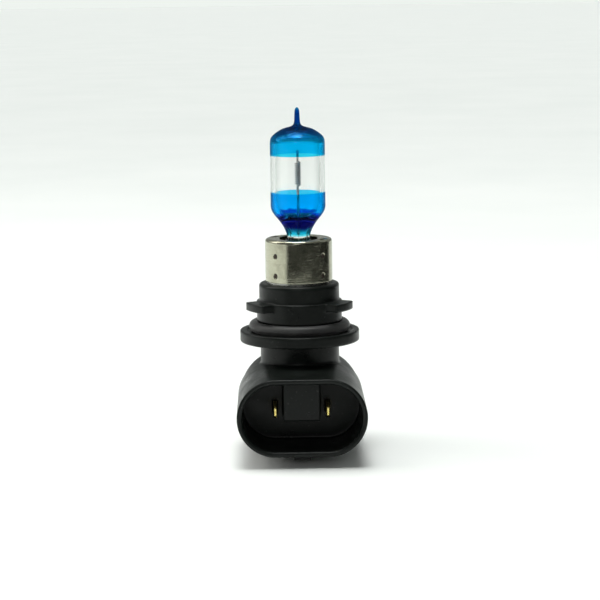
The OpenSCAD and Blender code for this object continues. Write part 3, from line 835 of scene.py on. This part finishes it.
# ------------------------------------------------------------------ moulded base
def base_field(x, y, z):
    rr = np.hypot(x, y)
    nose = inside2(rr - 9.4, slab(z, -5, 6.0), 0.75)
    spigot = inside2(rr - 10.0, slab(z, -7, 1.8), 0.18)
    d = smin(nose, spigot, 0.25)
    lug = None
    for a, w in ((90, 10), (210, 8), (330, 8)):
        c, s = math.cos(math.radians(a)), math.sin(math.radians(a))
        u, v = x * c + y * s, -x * s + y * c
        one = inside2(np.maximum(rr - 12.8, 8.5 - u), slab(v, -w / 2, w / 2), 0.5)
        one = inside2(one, slab(z, 0, 1.8), 0.22)
        lug = one if lug is None else np.minimum(lug, one)
    d = smin(d, lug, 0.35)
    # O-ring groove, seat and stop rim
    flange = inside2(rr - 14.0, slab(z, -7.7, -5.1), 0.35)
    neck = inside2(rr - 9.25, slab(z, -16, -5.5), 0.1)
    groove = inside2(slab(rr, 9.3, 12.5), slab(z, -5.5, -2.9), 0.12)
    d = smin(d, flange, 0.1)
    d = smax(d, -groove, 0.12)
    d = smin(d, neck, 0.9)
    # plug shroud and rounded back
    t = track(x, z - SHROUD_Z, SHROUD_W, SHROUD_H)
    bar = inside2(t, slab(y, MOUTH_Y, 2), 0.35)
    rim = smax(t, slab(y, -2, 20), 0.1)
    drum = smax(rim, rr - (SHROUD_W / 2 - 0.01), 2.2)
    body = np.minimum(bar, drum)
    boss = disc(x, y, z, 11.6, COVER_Z, -24, 0.12)
    body = smin(body, boss, 1.0)
    # latch ramp
    lo = SHROUD_Z - SHROUD_H / 2
    slope = ((lo - 0.1) - z) * 0.924 - (y - (MOUTH_Y + 0.9)) * 0.383
    ramp_ = inside3(slab(x, -1.9, 1.9), slab(y, MOUTH_Y + 0.9, MOUTH_Y + 5.5), slab(z, lo - 1.55, lo + 0.8), 0.15)
    ramp_ = smax(ramp_, slope, 0.2)
    body = smin(body, ramp_, 0.25)
    d = smin(d, body, 0.6)
    # socket, with a lead-in chamfer round the mouth
    ti = track(x, z - SHROUD_Z, SHROUD_W - 2 * WALL, SHROUD_H - 2 * WALL)
    cave = inside2(ti, slab(y, MOUTH_Y - 5, BACK_Y), 0.35)
    lead = (ti - 0.45 + (y - MOUTH_Y)) * 0.7071
    lead = np.maximum(lead, y - (MOUTH_Y + 1))
    cave = np.minimum(cave, lead)
    d = smax(d, -cave, 0.12)
    # key between the terminals
    key = brick(x, y, z, (-4.2, BACK_Y - 7.4, -23.5), (4.2, BACK_Y + 0.5, -13.0), 0.3)
    d = smin(d, key, 0.35)
    # inside: terminal chamber, wire passage, seat of the anchor ring, terminal slots
    hole = disc(x, y, z, 9.6, COVER_Z - 5, -14.0, 0.3)
    hole = np.minimum(hole, disc(x, y, z, 5.0, -20, 12, 0.1))
    hole = np.minimum(hole, disc(x, y, z, 7.45, 1.0, 12, 0.1))
    d = smax(d, -hole, 0.15)
    slot = inside3(slab(abs(x), PIN_X - 0.42, PIN_X + 0.42), slab(y, BACK_Y - 2, -2), slab(z, PIN_Z - 1.42, PIN_Z + 1.42), 0.05)
    d = smax(d, -slot, 0.2)
    return d


base = from_field("moulded_base", base_field, (-14.75, -25.75, -31.4), (14.75, 14.75, 6.0), 0.335, M_PLASTIC)
attach(base, "base_plastic", "base_housing")

# O-ring, with the faint flash line that moulding leaves
ring_pts = []
for k in range(56):
    a = 2 * math.pi * k / 56
    r = 1.285 + 0.02 * math.exp(-((math.degrees(a) + 180) % 360 - 180) ** 2 / 18)
    ring_pts.append((10.6 + r * math.cos(a), -4.2 + r * math.sin(a)))
attach(add_mesh("seal_ring", *lathe(ring_pts, 192), M_RUBBER), "seal_rubber", "o_ring")


def cover_field(x, y, z):
    rr = np.hypot(x, y)
    d = inside2(rr - 11.6, slab(z, FOOT_Z, COVER_Z), 0.35)
    plug = smax(smax(rr - 9.58, 8.4 - rr, 0.15), slab(z, COVER_Z - 0.2, COVER_Z + 2.0), 0.15)
    d = smin(d, plug, 0.1)
    recess = inside2(rr - 8.0, slab(z, FOOT_Z - 1, FOOT_Z + 0.3), 0.1)
    d = smax(d, -recess, 0.15)
    gate = inside2(rr - 1.3, slab(z, FOOT_Z + 0.1, FOOT_Z + 0.6), 0.1)
    d = smax(d, -gate, 0.15)
    for a in (30, 150, 270):
        c, s = math.cos(math.radians(a)), math.sin(math.radians(a))
        d = smax(d, -inside2(np.hypot(x - 5.4 * c, y - 5.4 * s) - 1.1, slab(z, FOOT_Z, FOOT_Z + 0.45), 0.05), 0.08)
    return d


attach(from_field("base_cap", cover_field, (-11.6, -11.6, FOOT_Z), (11.6, 11.6, COVER_Z + 2), 0.2, M_COVER), "cover_plastic", "rear_cover")

resin_pts = [(0.02, -8.95), (4.0, -8.98), (4.7, -9.0), (4.98, -8.9), (4.98, -4.05), (4.7, -4.12), (4.0, -4.2), (2.0, -4.28), (0.02, -4.3)]
attach(add_mesh("potting_plug", *lathe(resin_pts, 96), M_RESIN, 60), "potting", "sealing_compound")


# ------------------------------------------------------------------ terminals
def terminal(name, side, riser_y, cad):
    def field(x, y, z):
        u = x * side
        tab = inside3(slab(u, PIN_X - 0.4, PIN_X + 0.4), slab(y, PIN_TIP, riser_y + 1.4), slab(z, PIN_Z - 1.4, PIN_Z + 1.4), 0.05)
        # chamfered tip: steep on the edges, shorter on the faces
        tip = ((abs(z - PIN_Z) - 0.92) * 0.9 - (y - PIN_TIP)) * 0.6
        face = ((abs(u - PIN_X) - 0.24) * 2.6 - (y - PIN_TIP)) * 0.33
        tab = smax(smax(tab, tip, 0.08), face, 0.08)
        riser = inside3(slab(u, PIN_X - 0.4, PIN_X + 0.4), slab(y, riser_y - 1.4, riser_y + 1.4), slab(z, PIN_Z - 1.4, -16.4), 0.05)
        return smin(tab, riser, 0.25)

    lo = [PIN_X - 0.4, PIN_TIP, PIN_Z - 1.4]
    hi = [PIN_X + 0.4, riser_y + 1.4, -16.4]
    if side < 0:
        lo[0], hi[0] = -PIN_X - 0.4, -PIN_X + 0.4
    return attach(from_field(name, field, lo, hi, 0.1, M_PIN), "terminal_metal", cad)


terminal("tab_left", -1, -LEAD_Y, "terminal_left")
terminal("tab_right", 1, LEAD_Y, "terminal_right")

# ------------------------------------------------------------------ floor, light, camera
FLOOR_Z = FOOT_Z
n = 96
t = np.arange(n) * 2 * math.pi / n
floor_rings = [np.stack([r * np.cos(t), r * np.sin(t), np.full(n, FLOOR_Z - 0.02)], 1) for r in (1, 60, 200, 600, 2000, 7000, 16000, 29000)]
fv = np.concatenate(floor_rings)
ff = skin(floor_rings, 0, True) + [tuple(range(n))]
floor = add_mesh("floor", fv, [f for f in ff], floor_paint())

world = bpy.data.worlds.new("studio")
scene.world = world
world.use_nodes = True
wt = world.node_tree
bg = wt.nodes["Background"]
bg.inputs["Strength"].default_value = 1.0
# a plain room: brighter behind and overhead than in front
way = node(wt, "ShaderNodeSeparateXYZ")
wt.links.new(node(wt, "ShaderNodeTexCoord").outputs["Generated"], way.inputs[0])
back = remap(wt, way.outputs["Y"], -0.35, 0.55, 0.0, 1.0, True)
up = remap(wt, way.outputs["Z"], 0.25, 0.85, 0.0, 1.0, True)
left = remap(wt, way.outputs["X"], -0.9, 0.1, 0.35, 0.0, True)
sky = math_node(wt, "MAXIMUM", back, math_node(wt, "MAXIMUM", math_node(wt, "MULTIPLY", up, 0.55), left))
room = mix_colour(wt, sky, (0.035, 0.039, 0.037), (0.30, 0.315, 0.305))
rim = remap(wt, way.outputs["Z"], 0.03, 0.09, 1.0, 0.0, True)
wt.links.new(mix_colour(wt, rim, room, (0.86, 0.905, 0.867)), bg.inputs["Color"])


def area(name, where, at, size, power, colour=(1, 1, 1)):
    li = bpy.data.lights.new(name, "AREA")
    li.shape = "RECTANGLE"
    li.size, li.size_y = size[0] * MM, size[1] * MM
    li.energy = power
    li.color = colour
    ob = bpy.data.objects.new(name, li)
    scene.collection.objects.link(ob)
    ob.location = Vector(where) * MM
    ob.rotation_euler = (Vector(at) * MM - ob.location).to_track_quat("-Z", "Y").to_euler()
    return ob


area("key_soft", (-420, 80, 360), (0, 0, 5), (300, 420), 1.1, (1.0, 0.99, 0.95))
area("top_soft", (0, 250, 620), (0, 60, 0), (420, 420), 0.4)
area("front_fill", (-70, -560, 190), (0, 0, -10), (220, 130), 0.30)
# a big overhead panel lights the floor evenly on all sides
PANEL = 60000
wash = area("overhead_panel", (0, 0, 420), (0, 0, -33), (PANEL, PANEL), 3650.0, (0.97, 1.0, 0.98))
wash.rotation_euler = (0, 0, 0)
wash.data.spread = math.radians(30)
# even light from above on the whole floor
sun_data = bpy.data.lights.new("ceiling", "SUN")
sun_data.energy, sun_data.angle, sun_data.color = 1.25, math.radians(36), (0.97, 1.0, 0.98)
sun = bpy.data.objects.new("ceiling", sun_data)
scene.collection.objects.link(sun)
sun.rotation_euler = (math.radians(-4), math.radians(-6), 0)

# a dark card in front and to the right, which only reflections see, gives the collar its dark side
card_v, card_f = [], []
for k in range(61):
    a = math.radians(-42 + 167 * k / 60)
    for z in (FOOT_Z, 62):
        for r in (160, 161):
            card_v.append((r * math.sin(a), -r * math.cos(a), z))
for k in range(60):
    i = 4 * k
    card_f += [(i, i + 4, i + 6, i + 2), (i + 1, i + 3, i + 7, i + 5), (i, i + 1, i + 5, i + 4), (i + 2, i + 6, i + 7, i + 3)]
card_f += [(0, 2, 3, 1), (240, 241, 243, 242)]
card = add_mesh("dark_card", card_v, card_f, black_plastic("card_paper", (0.02, 0.021, 0.02), 0.9, 900, 0.00002), 30)
card.visible_camera = card.visible_diffuse = card.visible_shadow = card.visible_transmission = card.visible_volume_scatter = False

AIM = Vector((0.17, 0, 1.70))
AZ, EL, DIST, ROLL = math.radians(-0.8), math.radians(8.7), 463.5, math.radians(0.73)
cam_data = bpy.data.cameras.new("camera")
cam_data.sensor_width = 36
cam_data.lens = 1971 * 36 / 600
cam_data.clip_start, cam_data.clip_end = 0.01, 100
cam = bpy.data.objects.new("camera", cam_data)
scene.collection.objects.link(cam)
cam.location = (AIM + DIST * Vector((math.sin(AZ) * math.cos(EL), -math.cos(AZ) * math.cos(EL), math.sin(EL)))) * MM
look = (AIM * MM - cam.location).to_track_quat("-Z", "Y").to_matrix().to_4x4()
cam.matrix_world = Matrix.Translation(cam.location) @ look @ Matrix.Rotation(-ROLL, 4, "Z")
scene.camera = cam

scene.cycles.max_bounces = 24
scene.cycles.transmission_bounces = 24
scene.cycles.transparent_max_bounces = 24
scene.view_settings.view_transform = "Standard"
scene.view_settings.look = "None"
